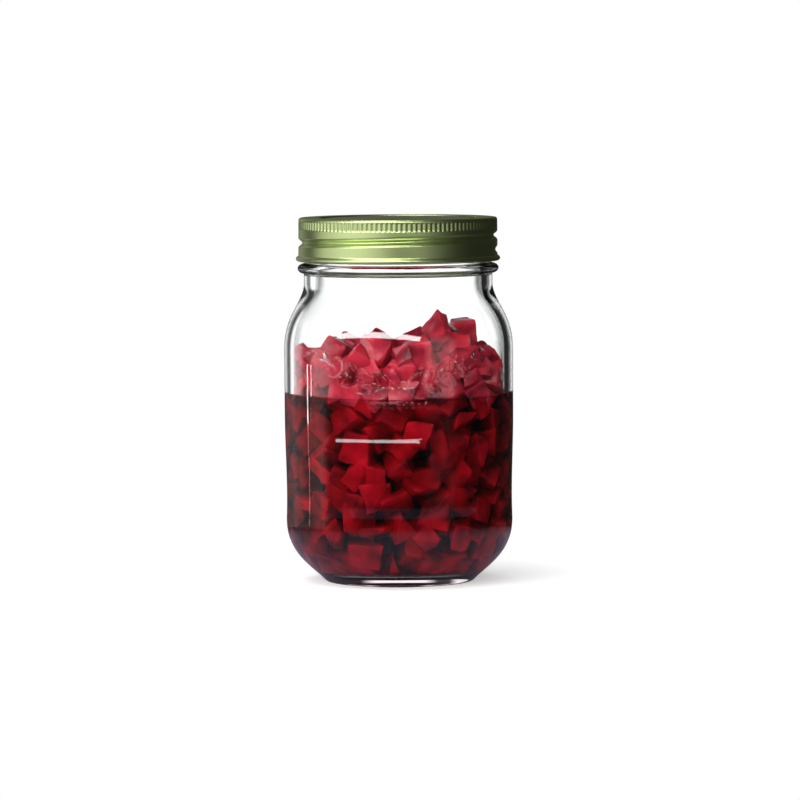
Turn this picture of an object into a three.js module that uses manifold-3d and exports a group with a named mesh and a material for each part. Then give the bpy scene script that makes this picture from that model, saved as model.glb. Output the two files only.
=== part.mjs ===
// A half-litre canning jar with a two-piece lid: a glass jar, a metal sealing lid with its gasket ring,
// and a screw band that turns on the jar's thread. It holds diced beetroot in brine.
// Millimetres, +Z up, origin at the centre of the base, front of the jar towards -Y.
import * as THREE from "three";
import { mergeGeometries, mergeVertices } from "three/addons/utils/BufferGeometryUtils.js";
import Module from "manifold-3d";

const wasm = await Module();
wasm.setup();

// Glass jar: outside, its widths from the body inwards and its heights from the base up
const bodyRadius = 41.35;
const heelInset = 0.45;
const baseInset = 14.7;
const footWidth = 3;
const standWidth = 2.7;
const shoulderInset = 7.3;
const collarBulge = 2.25;
const finishInset = 0.75;
const pushUpHeight = 2.2;
const footHeight = 2.5;
const heelTop = 23;
const waistRise = 39;
const straightRise = 22;
const shoulderRise = 24;
const collarRise = 5.2;
const collarHalfWidth = 1.75;
const finishRise = 14.15;
const rimRound = 1;

const heelRadius = bodyRadius - heelInset;
const baseRadius = heelRadius - baseInset;
const footRadius = baseRadius + footWidth;
const pushUpRadius = baseRadius - standWidth;
const neckRadius = bodyRadius - shoulderInset;
const collarRadius = neckRadius + collarBulge;
const finishRadius = neckRadius - finishInset;
const bodyStraightFrom = heelTop + waistRise;
const bodyTop = bodyStraightFrom + straightRise;
const neckHeight = bodyTop + shoulderRise;
const collarHeight = neckHeight + collarRise;
const finishBottom = collarHeight + collarHalfWidth;
const rimHeight = finishBottom + finishRise;

// Glass jar: inside
const wall = 3.05;
const finishWall = 3.1;
const baseThickness = 4;
const floorInset = 1.2;
const floorDish = 1;

const mouthRadius = finishRadius - finishWall;
const floorRadius = baseRadius - floorInset;
const floorHeight = pushUpHeight + baseThickness;

// Glass jar: raised label panels, one at the front and one at the back
const panelAboveHeel = 2.6;
const panelHeight = 29;
const panelHalfDegrees = 43.5;
const panelRise = 0.55;
const panelLedge = 2.2;
const panelFootLedge = 4.4;

const panelBottom = heelTop + panelAboveHeel;
const panelTop = panelBottom + panelHeight;

// Glass jar: how its outline bends
const waistShares = [0.34, 0.62];
const waistPinch = 0.55;
const heelLowShares = [0.6, 0.5];
const heelHighShare = 0.5;
const shoulderLowShare = 0.54;
const shoulderHighShare = 0.29;
const footShare = 0.25;
const floorShare = 0.5;

// Thread, right-handed, shared by the jar and the band
const threadPitch = 5.08;
const jarThreadHeight = 1.35;
const jarThreadHalfWidth = 1.25;
const jarThreadFrom = -400;
const jarThreadTo = 20;
const threadFade = 40;
const threadClearance = 0.9;
const threadAboveGrooveShare = 0.7;

// Sealing lid and its gasket ring, which the band holds down on the rim
const seatGap = 0.3;
const gasketHeight = 0.85;
const gasketInset = 0.2;
const gasketEdgeShare = 1 / 3;
const lidSheet = 0.3;
const lidSkirt = 0.9;
const lidClearance = 1.25;
const lidPanelGap = 1.2;
const lidPanelRise = 0.35;
const lidStep = 0.8;
const buttonRadius = 9;
const buttonRise = 0.25;
const buttonDomeShare = 0.8;

// Screw band
const bandSheet = 0.35;
const bandFootGap = 0.85;
const bandLip = 7.4;
const bandCorner = 0.7;
const curlBulge = 1;
const curlHalfWidth = 0.95;
const grooveDrop = 7.75;
const grooveClearance = 0.85;
const grooveHalfWidth = 1.75;
const grooveFrom = -385;
const grooveTo = 45;
const knurlCount = 126;
const knurlDrop = 0.8;
const knurlHeight = 3.4;
const knurlDepth = 0.16;
const knurlOverrun = 0.3;

const bandInside = finishRadius + jarThreadHeight + threadClearance;
const bandRadius = bandInside + bandSheet;
const bandHole = bandRadius - bandLip;
const lidRadius = bandInside - lidClearance;
const lidPanelRadius = bandHole - lidPanelGap - lidStep;
const gasketInner = mouthRadius + gasketInset;
const gasketOuter = finishRadius - seatGap;
const gasketBottom = rimHeight + seatGap;
const lidTop = gasketBottom + gasketHeight + seatGap + lidSheet;
const bandTop = lidTop + seatGap + bandSheet;
const curlRadius = bandRadius + curlBulge;
const curlHeight = finishBottom + bandFootGap + curlHalfWidth;
const grooveHeight = bandTop - grooveDrop;
const grooveDepth = jarThreadHeight + threadClearance - grooveClearance;
const knurlTop = bandTop - knurlDrop;
const knurlBottom = knurlTop - knurlHeight;

// Contents: loose pieces of beetroot that float at the top of the brine and heap up above it
const brineDrop = 16.3;
const fillGap = 0.3;
const pieceCount = 46;
const diceSize = 8.7;
const diceSizeSpread = 1.2;
const sliceEvery = 4;
const sliceThickness = 3.4;
const sliceLength = 13.5;
const diceTilt = 30;
const sliceTilt = 60;
const taperShare = 0.08;
const floatHeight = 3.8;
const floatSpread = 2;
const heapSide = 14;
const heapFront = 9;
const heapSlopeShare = 0.3;
const settleTrials = 20;
const settleSteps = [1.6, 0.4, 0.1];
const brineLevel = bodyTop - brineDrop;

// Contents: pieces of beetroot packed in layers against the glass
const packedLayers = 6;
const packedDepth = 8.6;
const packedLength = 13.2;
const packedThickness = 8;
const packedSizeSpread = 0.7;
const packedInset = 5.6;
const packedOverlap = 0.4;
const packedFloorGap = 5.2;
const packedRise = 10.2;
const packedWave = 1.5;
const packedWaves = 3;
const packedTilt = 7;
const packedInwardShare = 0.99;

const packedSpacing = packedLength - packedOverlap;

// How finely the round pieces are divided
const jarSegments = 48;
const bandSegments = 63;
const lidSegments = 48;
const threadRing = 0.95;

// What makes the numbers of spread look random, and how near to parallel two edges count as parallel
const waveShares = [12.9898, 78.233, 43758.5453];
const parallelLimit = 1e-6;

const point = (radius, height) => new THREE.Vector2(radius, height);
const radians = THREE.MathUtils.degToRad;
const goldenDegrees = 180 * (3 - Math.sqrt(5));
const smooth = THREE.MathUtils.smoothstep;

const glassMaterial = new THREE.MeshStandardMaterial({ color: 0xdfe8e6, roughness: 0.04, metalness: 0 });
const bandMaterial = new THREE.MeshStandardMaterial({ color: 0xbdb76b, roughness: 0.28, metalness: 1 });
const lidMaterial = new THREE.MeshStandardMaterial({ color: 0xc8bd72, roughness: 0.25, metalness: 1 });
const gasketMaterial = new THREE.MeshStandardMaterial({ color: 0x6f2b24, roughness: 0.7, metalness: 0 });
const brineMaterial = new THREE.MeshStandardMaterial({ color: 0x4a0612, roughness: 0.1, metalness: 0 });
const beetrootMaterial = new THREE.MeshStandardMaterial({ color: 0xa3122c, roughness: 0.35, metalness: 0 });

// The stretch of a cubic curve between two outline points, with its last point and without its first
function curved(from, low, high, to, steps) {
  return new THREE.CubicBezierCurve(from, low, high, to).getPoints(steps).slice(1);
}

// A solid of revolution about Z from an outline of radius and height, listed anticlockwise
function revolved(outline, segments) {
  return new THREE.LatheGeometry(outline, segments).rotateX(Math.PI / 2);
}

// Moves each point of a round solid to the radius that radiusAt gives for its own radius, angle and height
function reshaped(geometry, radiusAt) {
  const place = geometry.getAttribute("position");
  for (let i = 0; i < place.count; i += 1) {
    const radius = Math.hypot(place.getX(i), place.getY(i));
    const angle = Math.atan2(place.getY(i), place.getX(i));
    const moved = radiusAt(radius, THREE.MathUtils.radToDeg(angle), place.getZ(i));
    place.setX(i, moved * Math.cos(angle));
    place.setY(i, moved * Math.sin(angle));
  }
  return geometry;
}

// How far a ridge or groove that winds round the axis stands out, from 0 to 1, at an angle and height.
// It passes the front of the jar at frontHeight and runs from one angle to another, fading out at both.
function winding(degrees, height, { frontHeight, halfWidth, from, to }) {
  let most = 0;
  for (let turn = -2; turn <= 1; turn += 1) {
    const along = degrees + 360 * turn;
    const away = Math.abs(height - frontHeight - (threadPitch * (along + 90)) / 360);
    const ends = smooth(along, from, from + threadFade) * (1 - smooth(along, to - threadFade, to));
    if (away < halfWidth) most = Math.max(most, ends * (0.5 + 0.5 * Math.cos((Math.PI * away) / halfWidth)));
  }
  return most;
}

function solidOf(geometry) {
  const bare = geometry.index ? geometry.toNonIndexed() : geometry.clone();
  bare.deleteAttribute("normal");
  bare.deleteAttribute("uv");
  const merged = mergeVertices(bare);
  return new wasm.Manifold(
    new wasm.Mesh({
      numProp: 3,
      vertProperties: merged.getAttribute("position").array,
      triVerts: new Uint32Array(merged.index.array),
    }),
  );
}

function geometryOf(solid) {
  const mesh = solid.getMesh();
  const geometry = new THREE.BufferGeometry();
  geometry.setAttribute("position", new THREE.BufferAttribute(mesh.vertProperties, mesh.numProp));
  geometry.setIndex(new THREE.BufferAttribute(mesh.triVerts, 1));
  return geometry;
}

function named(name, geometry, material) {
  const mesh = new THREE.Mesh(geometry, material);
  mesh.name = name;
  return mesh;
}

// The jar's outside between the top of the heel and the foot of the neck, moved in by inset
function bodyCurve(inset, waistSteps, shoulderSteps, neck) {
  const heel = point(heelRadius - inset, heelTop);
  const straightFrom = point(bodyRadius - inset, bodyStraightFrom);
  const straightTo = point(bodyRadius - inset, bodyTop);
  return [
    ...curved(
      heel,
      point(heel.x - waistPinch, heelTop + waistShares[0] * waistRise),
      point(straightFrom.x, heelTop + waistShares[1] * waistRise),
      straightFrom,
      waistSteps,
    ),
    straightTo,
    ...curved(
      straightTo,
      point(straightTo.x, bodyTop + shoulderLowShare * shoulderRise),
      point(neck, neckHeight - shoulderHighShare * shoulderRise),
      point(neck, neckHeight),
      shoulderSteps,
    ),
  ];
}

// The inside of the jar from the middle of its floor to the foot of the neck
function insideCurve() {
  const floor = point(floorRadius, floorHeight - floorDish);
  const heel = point(heelRadius - wall, heelTop);
  return [
    point(0, floorHeight),
    floor,
    ...curved(
      floor,
      point(floor.x + floorShare * (heel.x - floor.x), floor.y),
      point(heel.x, heelTop - heelHighShare * (heelTop - floor.y)),
      heel,
      6,
    ),
    ...bodyCurve(wall, 3, 6, mouthRadius),
  ];
}

function jarOutline() {
  const foot = point(footRadius, footHeight);
  const heel = point(heelRadius, heelTop);
  const footRun = footShare * (footRadius - baseRadius);
  const heelRun = heelRadius - footRadius;
  const threadRise = finishRise - rimRound;
  const threadRings = Math.round(threadRise / threadRing);
  const finish = Array.from({ length: threadRings + 1 }, (_, i) =>
    point(finishRadius, finishBottom + (threadRise * i) / threadRings),
  );
  const collar = new THREE.EllipseCurve(
    neckRadius, collarHeight, collarRadius - neckRadius, collarHalfWidth, -Math.PI / 2, Math.PI / 2,
  );
  return [
    point(0, pushUpHeight),
    point(pushUpRadius - pushUpHeight, pushUpHeight),
    point(pushUpRadius, 0),
    point(baseRadius, 0),
    ...curved(
      point(baseRadius, 0),
      point(baseRadius + footRun, 0),
      point(footRadius - heelLowShares[0] * footHeight, footHeight - heelLowShares[1] * footHeight),
      foot,
      3,
    ),
    ...curved(
      foot,
      point(footRadius + heelLowShares[0] * heelRun, footHeight + heelLowShares[1] * heelRun),
      point(heelRadius, heelTop - heelHighShare * (heelTop - footHeight)),
      heel,
      7,
    ),
    ...panelRings(),
    ...bodyCurve(0, 2, 8, neckRadius).filter(({ y }) => y > panelTop),
    ...collar.getPoints(6),
    ...finish,
    point(finishRadius - rimRound, rimHeight),
    point(mouthRadius + rimRound, rimHeight),
    point(mouthRadius, rimHeight - rimRound),
    ...insideCurve().reverse(),
  ];
}

// Rings of the outline that carry the ledges of the label panels
function panelRings() {
  const side = bodyCurve(0, 24, 2, neckRadius);
  return [panelBottom, panelBottom + panelFootLedge, panelTop - panelLedge, panelTop].map((height) =>
    point(radiusAt(side, height), height),
  );
}

// The radius of an outline at a height, where the outline only climbs, and past its end that of its end
function radiusAt(outline, height) {
  const above = outline.findIndex(({ y }) => y > height);
  if (above < 0) return outline.at(-1).x;
  const high = outline[above];
  const low = outline[Math.max(above - 1, 0)];
  const share = high.y === low.y ? 0 : (height - low.y) / (high.y - low.y);
  return low.x + share * (high.x - low.x);
}

// How far the panels stand out at an angle and height, from 0 at their rims to 1 inside
function panelShare(degrees, height) {
  const fromMiddle = Math.abs(Math.abs(degrees) - 90);
  const ledgeDegrees = THREE.MathUtils.radToDeg(panelLedge / bodyRadius);
  const across = 1 - smooth(fromMiddle, panelHalfDegrees - ledgeDegrees, panelHalfDegrees);
  const up = smooth(height, panelBottom, panelBottom + panelFootLedge);
  const down = 1 - smooth(height, panelTop - panelLedge, panelTop);
  return across * up * down;
}

function glassJar() {
  const ridge = {
    frontHeight: grooveHeight + threadAboveGrooveShare * (jarThreadHalfWidth + grooveHalfWidth),
    halfWidth: jarThreadHalfWidth,
    from: jarThreadFrom,
    to: jarThreadTo,
  };
  const shape = reshaped(revolved(jarOutline(), jarSegments), (radius, degrees, height) => {
    if (radius > heelRadius - wall / 2 && height < bodyStraightFrom) {
      return radius + panelRise * panelShare(degrees, height);
    }
    if (radius > finishRadius - rimRound / 2 && height > finishBottom) {
      return radius + jarThreadHeight * winding(degrees, height, ridge);
    }
    return radius;
  });
  return named("glass_jar", shape, glassMaterial);
}

// The band is one sheet: its inside follows its outside, one sheet thickness in
function bandOutline() {
  const skirtBottom = curlHeight + curlHalfWidth;
  const belt = knurlBottom - skirtBottom;
  const rings = Math.round(belt / threadRing);
  const skirt = Array.from({ length: rings + 1 }, (_, i) => skirtBottom + (belt * i) / rings);
  const curl = new THREE.EllipseCurve(
    bandRadius, curlHeight, curlRadius - bandRadius, curlHalfWidth, -Math.PI / 2, Math.PI / 2,
  );
  return [
    point(bandHole, bandTop - bandSheet),
    point(bandInside, bandTop - bandSheet),
    ...skirt.toReversed().map((height) => point(bandInside, height)),
    point(bandInside, curlHeight - curlHalfWidth),
    ...curl.getPoints(6),
    ...skirt.slice(1).map((height) => point(bandRadius, height)),
    point(bandRadius, bandTop - bandCorner),
    point(bandRadius - bandCorner, bandTop),
    point(bandHole, bandTop),
    point(bandHole, bandTop - bandSheet),
  ];
}

// Cutters for the upright grooves of the band's knurled belt, in one geometry
function knurlCutters() {
  const width = (Math.PI * bandRadius) / knurlCount;
  const notch = new THREE.CylinderGeometry(1, 1, 1, 4, 1);
  notch.rotateX(Math.PI / 2).scale(knurlDepth + knurlOverrun, width / 2, knurlHeight);
  const cutters = Array.from({ length: knurlCount }, (_, i) =>
    notch
      .clone()
      .translate(bandRadius + knurlOverrun, 0, knurlBottom + knurlHeight / 2)
      .rotateZ((2 * Math.PI * i) / knurlCount),
  );
  return mergeGeometries(cutters);
}

function screwBand() {
  const groove = { frontHeight: grooveHeight, halfWidth: grooveHalfWidth, from: grooveFrom, to: grooveTo };
  const sheet = reshaped(revolved(bandOutline(), bandSegments), (radius, degrees, height) =>
    radius > lidRadius ? radius - grooveDepth * winding(degrees, height, groove) : radius,
  );
  const shape = geometryOf(solidOf(sheet).subtract(solidOf(knurlCutters())));
  return named("screw_band", shape, bandMaterial);
}

function sealingLid() {
  const panel = lidTop + lidPanelRise;
  const underside = lidTop - lidSheet;
  const upper = [
    point(0, panel + buttonRise),
    point(buttonRadius / 2, panel + buttonDomeShare * buttonRise),
    point(buttonRadius, panel),
    point(lidPanelRadius, panel),
    point(lidPanelRadius + lidStep, lidTop),
    point(lidRadius - lidSheet, lidTop),
    point(lidRadius, underside),
    point(lidRadius, underside - lidSkirt),
  ];
  const lower = [
    point(lidRadius - lidSheet, underside - lidSkirt),
    point(lidRadius - lidSheet, underside),
    point(lidPanelRadius + lidStep, underside),
    point(lidPanelRadius, panel - lidSheet),
    point(buttonRadius, panel - lidSheet),
    point(buttonRadius / 2, panel + buttonDomeShare * buttonRise - lidSheet),
    point(0, panel + buttonRise - lidSheet),
  ];
  return named("sealing_lid", revolved([...upper, ...lower].reverse(), lidSegments), lidMaterial);
}

function gasketRing() {
  const edge = gasketEdgeShare * gasketHeight;
  const outline = [
    point(gasketInner, gasketBottom + edge),
    point(gasketInner + edge, gasketBottom),
    point(gasketOuter - edge, gasketBottom),
    point(gasketOuter, gasketBottom + edge),
    point(gasketOuter, gasketBottom + gasketHeight),
    point(gasketInner, gasketBottom + gasketHeight),
    point(gasketInner, gasketBottom + edge),
  ];
  return named("gasket_ring", revolved(outline, lidSegments), gasketMaterial);
}

// A number from -1 to 1 that looks random and is the same each time
function spread(index, which) {
  const wave = Math.sin(index * waveShares[0] + which * waveShares[1]) * waveShares[2];
  return 2 * (wave - Math.floor(wave)) - 1;
}

// A turned box with its axes and half its sizes, as the shape of a piece of beetroot
function turnedBox(size, turn, centre) {
  const matrix = new THREE.Matrix4().makeRotationFromEuler(turn);
  const axes = [0, 1, 2].map((i) => new THREE.Vector3().setFromMatrixColumn(matrix, i));
  return { size, turn, centre, axes, half: size.clone().multiplyScalar(0.5) };
}

function heightOf({ axes, size }) {
  return axes.reduce((sum, axis, i) => sum + size.getComponent(i) * Math.abs(axis.z), 0);
}

// One loose piece of beetroot above the brine, at one of the places where it could come to lie. Its float
// height is how low its centre sinks in the brine with nothing under it.
function pieceAt(index, trial) {
  const slice = index % sliceEvery === 0;
  const side = (which) => diceSize + diceSizeSpread * spread(index, which);
  const size = new THREE.Vector3(slice ? sliceLength : side(1), side(2), slice ? sliceThickness : side(3));
  const tilt = radians(slice ? sliceTilt : diceTilt);
  const turn = new THREE.Euler(tilt * spread(index, 4), tilt * spread(index, 5), Math.PI * spread(index, 6));
  const angle = radians(goldenDegrees * (index + pieceCount * trial));
  const radius = (bodyRadius - wall) * Math.sqrt((trial + 0.5 + 0.5 * spread(index, 7)) / settleTrials);
  const centre = new THREE.Vector3(radius * Math.cos(angle), radius * Math.sin(angle), neckHeight);
  const piece = turnedBox(size, turn, centre);
  const floats = brineLevel + floatHeight + floatSpread * spread(index, 8) - heightOf(piece) / 2;
  return { ...piece, floats };
}

// True if two turned boxes overlap, each grown by half of the gap between them
function boxesMeet(a, b) {
  const between = new THREE.Vector3().subVectors(b.centre, a.centre);
  if (between.length() > a.half.length() + b.half.length() + 2 * fillGap) return false;
  const axes = [...a.axes, ...b.axes];
  for (const u of a.axes) for (const v of b.axes) axes.push(new THREE.Vector3().crossVectors(u, v));
  const reach = ({ axes: sides, half }, axis) =>
    sides.reduce((sum, side, i) => sum + (half.getComponent(i) + fillGap / 2) * Math.abs(side.dot(axis)), 0);
  return axes
    .filter((axis) => axis.lengthSq() > parallelLimit)
    .every((axis) => Math.abs(between.dot(axis)) < reach(a, axis) + reach(b, axis));
}

// True if every corner of a turned box lies inside the jar, clear of its wall and floor
function fitsJar({ centre, axes, half }) {
  const inside = insideCurve();
  const signs = [-1, 1];
  return signs.every((x) =>
    signs.every((y) =>
      signs.every((z) => {
        const corner = centre.clone();
        [x * half.x, y * half.y, z * half.z].forEach((reach, i) => corner.addScaledVector(axes[i], reach));
        const aboveFloor = corner.z > floorHeight + fillGap;
        return aboveFloor && Math.hypot(corner.x, corner.y) < radiusAt(inside, corner.z) - fillGap;
      }),
    ),
  );
}

// Lowers a piece by ever smaller steps until it meets another or floats
function lowered(piece, placed) {
  const meetsAnother = () => placed.some((other) => boxesMeet(piece, other));
  for (const step of settleSteps) {
    while (piece.centre.z > piece.floats && !meetsAnother()) piece.centre.z -= step;
    do piece.centre.z += step;
    while (meetsAnother());
  }
  return piece;
}

// One of the pieces packed against the glass, which lie in rings that rise and fall round the jar. Each is
// moved in until it is clear of the glass.
function packedPiece(layer, place, places, height) {
  const index = pieceCount * layer + place + 1;
  const angle = (2 * Math.PI * (place + layer / 2)) / places;
  const ring = radiusAt(insideCurve(), height) - packedInset;
  const slope = (packedWaves * packedWave * Math.cos(packedWaves * angle)) / ring;
  const tilt = radians(packedTilt);
  const turn = new THREE.Euler(
    Math.atan(slope) + tilt * spread(index, 4),
    tilt * spread(index, 5),
    angle,
    "ZYX",
  );
  const size = new THREE.Vector3(packedDepth, packedLength, packedThickness);
  size.addScalar(packedSizeSpread * spread(index, 1));
  const lift = height + packedWave * Math.sin(packedWaves * angle);
  const piece = turnedBox(size, turn, new THREE.Vector3(ring * Math.cos(angle), ring * Math.sin(angle)));
  piece.centre.z = Math.max(lift, floorHeight + 2 * fillGap + heightOf(piece) / 2);
  const inwards = new THREE.Vector3(packedInwardShare, packedInwardShare, 1);
  while (!fitsJar(piece)) piece.centre.multiply(inwards);
  return piece;
}

// The rings of packed pieces, from the floor of the jar up
function packedRings() {
  return Array.from({ length: packedLayers }, (_, layer) => {
    const height = floorHeight + packedFloorGap + packedRise * layer;
    const around = 2 * Math.PI * (radiusAt(insideCurve(), height) - packedInset);
    const places = Math.floor(around / packedSpacing);
    return Array.from({ length: places }, (__, place) => packedPiece(layer + 1, place, places, height));
  });
}

// Puts each loose piece in turn where it lies lowest, with a lean towards the middle of the heap
function settled(packed) {
  const placed = [...packed];
  for (let index = 1; index <= pieceCount; index += 1) {
    const cost = ({ centre }) =>
      centre.z + heapSlopeShare * Math.hypot(centre.x - heapSide, centre.y + heapFront);
    const trials = Array.from({ length: settleTrials }, (_, trial) => pieceAt(index, trial));
    const lying = trials.map((piece) => lowered(piece, placed)).filter(fitsJar);
    placed.push(lying.sort((a, b) => cost(a) - cost(b))[0]);
  }
  return placed.slice(packed.length);
}

// A piece narrows a little towards one end
function pieceGeometry({ size }, grow) {
  const geometry = new THREE.BoxGeometry(size.x + 2 * grow, size.y + 2 * grow, size.z + 2 * grow);
  const place = geometry.getAttribute("position");
  for (let i = 0; i < place.count; i += 1) {
    if (place.getX(i) > 0) {
      place.setY(i, place.getY(i) * (1 - taperShare));
      place.setZ(i, place.getZ(i) * (1 - taperShare / 2));
    }
  }
  return geometry;
}

function pieceSolid(piece, grow) {
  const matrix = new THREE.Matrix4().makeRotationFromEuler(piece.turn);
  return solidOf(pieceGeometry(piece, grow).applyMatrix4(matrix).translate(...piece.centre));
}

function largestOf(solid) {
  return solid.decompose().sort((a, b) => b.volume() - a.volume())[0];
}

// The pieces of a ring touch each other, so they are one body, clear of the ring below
function packedRing(ring, i, rings) {
  const below = i > 0 ? rings[i - 1].map((piece) => pieceSolid(piece, fillGap)) : [];
  const body = wasm.Manifold.union(ring.map((piece) => pieceSolid(piece, 0)));
  const clear = body.subtract(wasm.Manifold.union(below));
  return named(`beetroot_layer_${i + 1}`, geometryOf(largestOf(clear)), beetrootMaterial);
}

function beetroot(pieces) {
  return pieces.map((piece, i) => {
    const number = String(i + 1).padStart(2, "0");
    const mesh = named(`beetroot_${number}`, pieceGeometry(piece, 0), beetrootMaterial);
    mesh.position.copy(piece.centre);
    mesh.rotation.copy(piece.turn);
    return mesh;
  });
}

// The brine fills the jar to its level, around the beetroot. The room for each loose piece is open to the
// top.
function brine(pieces, packed) {
  const inside = insideCurve();
  const side = inside
    .filter(({ x, y }) => x > 0 && y < brineLevel)
    .map(({ x, y }) => point(x - fillGap, y + fillGap));
  const edge = radiusAt(inside, brineLevel) - fillGap;
  const outline = [point(0, inside[0].y + fillGap), ...side, point(edge, brineLevel), point(0, brineLevel)];
  const rooms = pieces.map((piece) => {
    const grown = pieceSolid(piece, fillGap);
    return wasm.Manifold.hull([grown, grown.translate(0, 0, shoulderRise)]);
  });
  rooms.push(...packed.map((piece) => pieceSolid(piece, fillGap)));
  const body = solidOf(revolved(outline, jarSegments)).subtract(wasm.Manifold.union(rooms));
  return named("brine", geometryOf(largestOf(body)), brineMaterial);
}

const canningJar = new THREE.Group();
const rings = packedRings();
const pieces = settled(rings.flat());
canningJar.add(glassJar(), screwBand(), sealingLid(), gasketRing());
canningJar.add(brine(pieces, rings.flat()), ...rings.map(packedRing), ...beetroot(pieces));

export default canningJar;
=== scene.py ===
"""The looks of a half-litre canning jar with a two-piece lid, full of diced beetroot in brine.

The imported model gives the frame: where each piece is, and what it rides on. The glass, the brine,
the beetroot, the lid and the band are modelled here again with a fine surface, in metres.
"""

import math

import bmesh
import bpy
import numpy as np
from mathutils import Matrix, Vector


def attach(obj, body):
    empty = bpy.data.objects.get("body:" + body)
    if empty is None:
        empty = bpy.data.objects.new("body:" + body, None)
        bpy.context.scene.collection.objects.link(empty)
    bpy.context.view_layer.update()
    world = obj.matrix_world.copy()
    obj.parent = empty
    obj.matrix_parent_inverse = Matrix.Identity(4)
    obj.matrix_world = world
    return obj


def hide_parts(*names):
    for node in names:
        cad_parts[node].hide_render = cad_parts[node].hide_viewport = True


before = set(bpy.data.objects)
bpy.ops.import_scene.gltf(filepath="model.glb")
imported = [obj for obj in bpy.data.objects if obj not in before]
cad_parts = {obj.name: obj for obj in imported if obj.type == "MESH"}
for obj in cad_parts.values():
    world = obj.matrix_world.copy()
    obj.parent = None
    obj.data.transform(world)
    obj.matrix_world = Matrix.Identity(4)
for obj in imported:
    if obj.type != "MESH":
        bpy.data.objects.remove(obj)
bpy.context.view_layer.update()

MM = 0.001
FRONT = -math.pi / 2

# The jar's outline, repeated from the model
BASE_RADIUS = 26.2
PUSH_UP_RADIUS = 23.5
PUSH_UP_HEIGHT = 2.2
FOOT = (29.2, 2.5)
HEEL = (40.9, 23)
BODY_RADIUS = 41.35
BODY_STRAIGHT = (62, 84)
NECK = (34.05, 108)
COLLAR_RADIUS = 36.3
COLLAR_HEIGHT = 113.2
COLLAR_HALF_WIDTH = 1.75
FINISH_RADIUS = 33.3
RIM_HEIGHT = 129.1
RIM_ROUND = 1
WALL = 3.05
MOUTH_RADIUS = 30.2
FLOOR_RADIUS = 25
FLOOR_HEIGHT = 6.2

# How finely the jar is modelled: the front, where the garland is, in small steps
FLOOR_STEPS = 6
FRONT_REACH = 34
FRONT_ANGLES = 280
OTHER_ANGLES = 130

# The raised label panel
PANEL_BOTTOM = 25.6
PANEL_TOP = 54.6
PANEL_HALF_WIDTH = 31.4
PANEL_CORNER = 5
PANEL_RISE = 0.55
PANEL_LEDGE = 2.0
PANEL_FOOT_LEDGE = 4.2

# The thread
PITCH = 5.08
RIDGE_HEIGHT = 1.35
RIDGE_HALF_WIDTH = 1.25
RIDGE_FRONT = 125.85
RIDGE_SPAN = (-400, 20)
GROOVE_DEPTH = 1.4
GROOVE_HALF_WIDTH = 1.75
GROOVE_FRONT = 123.75
GROOVE_SPAN = (-385, 45)
THREAD_FADE = 40

# The band and the lid
BAND_RADIUS = 35.9
BAND_SHEET = 0.35
BAND_TOP = 131.5
BAND_HOLE = 28.5
BAND_CORNER = 0.9
CURL_RADIUS = 36.9
CURL_HEIGHT = 116.75
CURL_HALF_WIDTH = 0.95
KNURL_COUNT = 126
KNURL_RANGE = (127.2, 130.5)
KNURL_DEPTH = 0.3
LID_RADIUS = 34.3
LID_TOP = 130.85
LID_SHEET = 0.3
LID_ROUND = 0.5
LID_SKIRT = 1.2
PLATE_RISE = 0.35
BUTTON_RISE = 0.6
TROUGH_DEPTH = 0.12
BUTTON_RADIUS = 9
PLATE_RADIUS = 26
TROUGH_RADIUS = 27.5
EDGE_RADIUS = 28.6

# The contents, with the rings of packed beetroot as in the model
BRINE_LEVEL = 67.7
BRINE_OVERLAP = 0.05
MENISCUS_WIDTH = 1.6
MENISCUS_HEIGHT = 0.4
MENISCUS_SHARES = (1.0, 0.55, 0.25, 0.08)
CLEARANCE = 0.35
RING_COUNT = 6
RING_INSET = 5.6
RING_SPACING = 12.8
RING_FLOOR_GAP = 5.2
RING_RISE = 10.2
RING_WAVE = 1.5
RING_WAVES = 3
PIECE_INSET = 4.4
PACKED_PIECE = 9

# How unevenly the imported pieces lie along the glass, up or down and away from the glass
PAIR_LIFT = 2
PIECE_SHIFT = 0.8
PIECE_LIFT = 1.2
PIECE_SETBACK = 2.5
BEHIND_SHIFT = 0.3
BEHIND_LIFT = 3

# The small pieces against the glass: (height, share that is kept, mean size) of each row
RIM_ROWS = [(70.5, 1.0, 8.0), (76.5, 0.85, 7.2), (81.5, 0.5, 6.2)]
RIM_INSETS = (3.8, 10.6)
RIM_GAP = 0.4
RIM_SHIFT = 0.25
RIM_LIFT = 1.6

# How a piece of beetroot is shaped
HEAP_SHARE = 0.97
HEAP_CORNER_PUSH = 1.1
CORNER_PUSH_SHARE = 0.17
SIZE_SPREAD = 0.22
FLAKE_WIDTH = 1.35
FLAKE_THICKNESS = 0.42
BLOCK_THICKNESS = 0.95
FLAKE_LEAN = 1.2
BLOCK_LEAN = 0.7
EDGE_ROUND = 0.6
EDGE_LIMITS = (3.4, 2.4)
UNEVEN = 0.36
UNEVEN_WAVE = 10
FINE_WAVE = 3.4
FINE_SHARE = 0.4

# Refractive indices and colours
GLASS_INDEX = 1.5
BRINE_INDEX = 1.35
GLASS_COLOUR = (0.95, 0.965, 0.96, 1)
GLASS_LAMP_TINT = (0.97, 0.98, 0.98, 1)
BRINE_COLOUR = (0.6, 0.0, 0.15, 1)
BRINE_DENSITY = 400
BAND_COLOUR = (0.57, 0.68, 0.31)
LID_COLOUR = (0.6, 0.68, 0.38)
GASKET_COLOUR = (0.17, 0.035, 0.025, 1)

# Beetroot above and below the brine: light, dark and pale colours, and how much it shines
DRY_FLESH = ((0.5, 0.01, 0.03), (0.1, 0.002, 0.01), (0.62, 0.03, 0.07), 0.3)
# Below the brine the flesh colours are darker and redder than above: painted shade for the light
# that the brine takes away.
WET_FLESH_PAINTED_SHADE = ((0.48, 0.003, 0.015), (0.035, 0.001, 0.003), (0.36, 0.003, 0.015), 0.03)

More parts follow.
